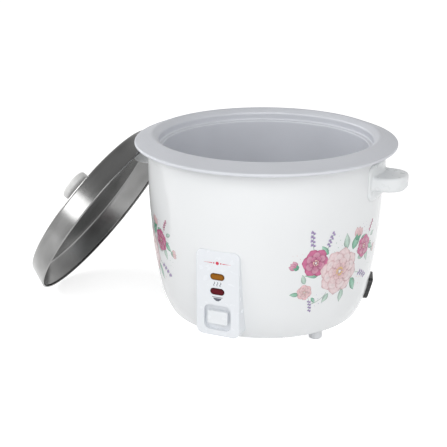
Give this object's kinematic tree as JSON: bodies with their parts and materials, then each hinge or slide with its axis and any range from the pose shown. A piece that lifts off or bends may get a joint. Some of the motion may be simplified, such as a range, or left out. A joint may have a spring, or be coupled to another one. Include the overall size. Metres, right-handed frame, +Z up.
{
  "type": "rice cooker",
  "caption": "White drum rice cooker with lift-out aluminium pot, loose domed steel lid, front switch key and lamps, side handles and a rear power inlet.",
  "frame": {"origin": "on the drum's axis, in the plane its three feet stand on", "axes": "+Z up along the drum's axis, -Y towards the front panel, handles along +X and -X, lid set down on the -X side"},
  "size_m": [0.4026, 0.264, 0.1935],
  "materials": {
    "casing_enamel": "white stoved enamel, glossy",
    "plated_steel": "zinc plated",
    "foot_plastic": "satin",
    "screw_steel": "zinc plated",
    "liner_steel": "aluminised",
    "pot_aluminium": "satin anodised",
    "plate_aluminium": "cast, turned face",
    "element_steel": "sheathed element",
    "terminal_steel": "plated",
    "ferrite": "sintered",
    "spring_steel": "bright",
    "fuse_sleeve": "glass fibre sleeve",
    "ceramic_white": "unglazed",
    "bakelite": "moulded",
    "contact_brass": "rolled",
    "panel_plastic": "glossy white",
    "lens_amber": "tinted clear",
    "lens_red": "tinted clear",
    "lamp_glass": "neon lamp",
    "key_plastic": "glossy white",
    "handle_plastic": "satin white",
    "inlet_plastic": "black",
    "pin_brass": "plated",
    "wire_blue": "silicone sleeve",
    "wire_brown": "silicone sleeve",
    "lid_steel": "bright stainless, finely brushed",
    "knob_plastic": "satin white"
  },
  "bodies": {
    "housing": {"outer_casing": "casing_enamel", "base_cover": "plated_steel", "foot_front_left": "foot_plastic", "foot_front_right": "foot_plastic", "foot_rear": "foot_plastic", "foot_screws": "screw_steel", "inner_liner": "liner_steel", "heating_plate": "plate_aluminium", "heating_element": "element_steel", "heater_terminals": "terminal_steel", "plate_posts": "plated_steel", "plate_screws": "screw_steel", "thermostat_housing": "plated_steel", "sensor_spring": "spring_steel", "magnet_spring": "spring_steel", "thermal_fuse": "fuse_sleeve", "fuse_clip": "plated_steel", "clip_screw": "screw_steel", "keep_warm_thermostat": "ceramic_white", "lever_bracket": "plated_steel", "bracket_screws": "screw_steel", "lever_pin": "plated_steel", "contact_block": "bakelite", "block_screw": "screw_steel", "fixed_contact": "contact_brass", "leaf_terminal": "contact_brass", "control_panel": "panel_plastic", "panel_screws": "screw_steel", "warm_lens": "lens_amber", "cook_lens": "lens_red", "neon_lamps": "lamp_glass", "lamp_holder": "bakelite", "right_handle": "handle_plastic", "left_handle": "handle_plastic", "handle_screws": "screw_steel", "power_inlet": "inlet_plastic", "inlet_pins": "pin_brass", "neutral_wire": "wire_blue", "live_wire": "wire_brown", "heater_wire": "wire_brown"},
    "pot": {"inner_pot": "pot_aluminium"},
    "lid": {"lid_shell": "lid_steel", "lid_knob": "knob_plastic", "knob_washer": "screw_steel", "knob_screw": "screw_steel"},
    "switch": {"switch_lever": "plated_steel", "switch_key": "key_plastic", "contact_pusher": "ceramic_white"},
    "magnet": {"magnet_ring": "ferrite", "magnet_holder": "plated_steel"},
    "sensor": {"sensor_cap": "plate_aluminium", "ferrite_disc": "ferrite"},
    "leaf": {"contact_leaf": "contact_brass"}
  },
  "joints": [
    {"name": "pot_lift", "type": "slide", "parent": "housing", "child": "pot", "axis": [0, 0, 1], "range_m": [0, 0.15]},
    {"name": "sensor_rise", "type": "slide", "parent": "housing", "child": "sensor", "axis": [0, 0, 1], "range_m": [0, 0.003], "deforming": ["sensor_spring"]},
    {"name": "switch_press", "type": "hinge", "parent": "housing", "child": "switch", "pos_m": [0, -0.048, 0.026], "axis": [1, 0, 0], "range_deg": [0, 3.97], "stiffness_Nm_per_rad": 0.9, "springref_deg": -5.16},
    {"name": "magnet_rise", "type": "slide", "parent": "housing", "child": "magnet", "axis": [0, 0, 1], "range_m": [0, 0.00334], "deforming": ["magnet_spring"]},
    {"name": "contact_press", "type": "hinge", "parent": "housing", "child": "leaf", "pos_m": [0.026, -0.07, 0.0187], "axis": [0, -1, 0], "range_deg": [0, 5.15]},
    {"name": "lid_lift", "type": "slide", "parent": "housing", "child": "lid", "axis": [-0.8198, -0.0616, 0.5693], "range_m": [0, 0.12]}
  ],
  "couplings": [
    {"joint": "sensor_rise", "follows": "pot_lift", "ratio": 0.02},
    {"joint": "magnet_rise", "follows": "switch_press", "m_per_rad": 0.048},
    {"joint": "contact_press", "follows": "switch_press", "ratio": 1.2941}
  ]
}
